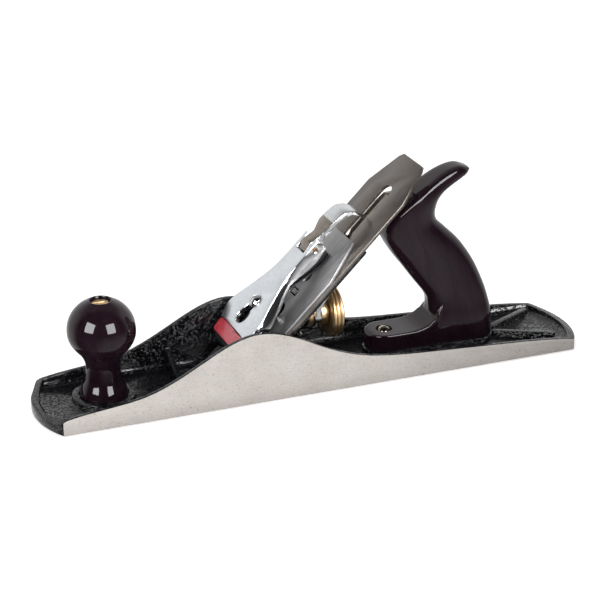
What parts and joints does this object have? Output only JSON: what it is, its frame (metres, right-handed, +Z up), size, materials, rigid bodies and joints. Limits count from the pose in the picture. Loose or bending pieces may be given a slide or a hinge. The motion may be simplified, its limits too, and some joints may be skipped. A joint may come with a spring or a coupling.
{
  "type": "bench plane",
  "caption": "Iron bench plane of jack size with bedded cutting iron, sliding frog, depth wheel, lateral lever, lever cap with cam, round front knob and open rear handle.",
  "frame": {"origin": "on the ground sole, under the middle of the body", "axes": "+X runs from the toe (knob) to the heel (rear handle), +Y to the right-hand cheek, +Z up from the sole"},
  "size_m": [0.356, 0.0636, 0.1309],
  "materials": {
    "body_iron": "black japanned inside, ground sole, cheeks and edges",
    "frog_iron": "black japanned casting",
    "handle_wood": "dark stained hardwood under gloss varnish",
    "brass": "turned and polished",
    "iron_steel": "ground tool steel, brushed across",
    "cap_iron_steel": "dark brushed steel",
    "cap_nickel": "nickel plate, satin face and polished sides",
    "lever_chrome": "polished plate",
    "fittings_steel": "bright steel",
    "dark_steel": "blackened steel"
  },
  "bodies": {
    "base": {"base_casting": "body_iron", "knob": "handle_wood", "knob_bolt": "fittings_steel", "knob_nut": "brass", "tote": "handle_wood", "tote_bolt": "fittings_steel", "tote_nut": "brass", "tote_screw": "dark_steel", "frog_screws": "fittings_steel", "frog_washers": "fittings_steel"},
    "frog": {"frog": "frog_iron", "adjuster_stud": "dark_steel", "yoke_pin": "fittings_steel", "frog_adjust_plate": "dark_steel", "plate_screw": "fittings_steel", "lateral_rivet": "fittings_steel"},
    "frog_adjuster": {"frog_adjust_screw": "fittings_steel"},
    "depth_collar": {"depth_collar": "brass"},
    "depth_wheel": {"depth_wheel": "brass"},
    "yoke": {"yoke": "fittings_steel"},
    "cap_screw": {"lever_cap_screw": "fittings_steel"},
    "irons": {"plane_iron": "iron_steel", "cap_iron": "cap_iron_steel", "cap_iron_screw": "fittings_steel"},
    "lateral_lever": {"lateral_lever": "fittings_steel", "lateral_disc": "fittings_steel"},
    "lever_cap": {"lever_cap": "cap_nickel", "lever_cap_spring": "dark_steel", "spring_rivet": "fittings_steel", "cam_pin": "fittings_steel"},
    "cam_lever": {"cam_lever": "lever_chrome"}
  },
  "joints": [
    {"name": "frog_slide", "type": "slide", "parent": "base", "child": "frog", "axis": [1, 0, 0], "range_m": [-0.001, 0.001]},
    {"name": "frog_screw_turn", "type": "hinge", "parent": "frog", "child": "frog_adjuster", "pos_m": [-0.01, 0, 0.0096], "axis": [1, 0, 0], "range_deg": [-450, 450]},
    {"name": "collar_slide", "type": "slide", "parent": "frog", "child": "depth_collar", "axis": [1, 0, 0], "range_m": [-0.0016, 0.0016]},
    {"name": "wheel_turn", "type": "hinge", "parent": "depth_collar", "child": "depth_wheel", "pos_m": [0.0087, 0, 0.0394], "axis": [1, 0, 0], "range_deg": [-540, 540]},
    {"name": "yoke_tilt", "type": "hinge", "parent": "frog", "child": "yoke", "pos_m": [0.00404, 0, 0.05169], "axis": [0, 1, 0], "range_deg": [-7.5, 7.5]},
    {"name": "iron_tilt", "type": "hinge", "parent": "frog", "child": "cap_screw", "pos_m": [-0.02276, 0, 0.03889], "axis": [-0.7071, 0, 0.7071], "range_deg": [-1.75, 1.75]},
    {"name": "iron_feed", "type": "slide", "parent": "cap_screw", "child": "irons", "axis": [0.7071, 0, 0.7071], "range_m": [-0.00166, 0.00166]},
    {"name": "lateral_swing", "type": "hinge", "parent": "frog", "child": "lateral_lever", "pos_m": [0.01967, 0, 0.08132], "axis": [-0.7071, 0, 0.7071], "range_deg": [-6, 6]},
    {"name": "lever_cap_release", "type": "slide", "parent": "frog", "child": "lever_cap", "axis": [0.7071, 0, 0.7071], "range_m": [0, 0.011]},
    {"name": "cam_open", "type": "hinge", "parent": "lever_cap", "child": "cam_lever", "pos_m": [-0.00169, 0, 0.08485], "axis": [0, -1, 0], "range_deg": [0, 110]}
  ],
  "couplings": [
    {"joint": "frog_screw_turn", "follows": "frog_slide", "rad_per_m": 7853.9},
    {"joint": "wheel_turn", "follows": "iron_feed", "rad_per_m": -5657.9},
    {"joint": "collar_slide", "follows": "iron_feed", "ratio": -0.95271},
    {"joint": "yoke_tilt", "follows": "iron_feed", "rad_per_m": 77.519},
    {"joint": "iron_tilt", "follows": "lateral_swing", "ratio": -0.29032}
  ]
}
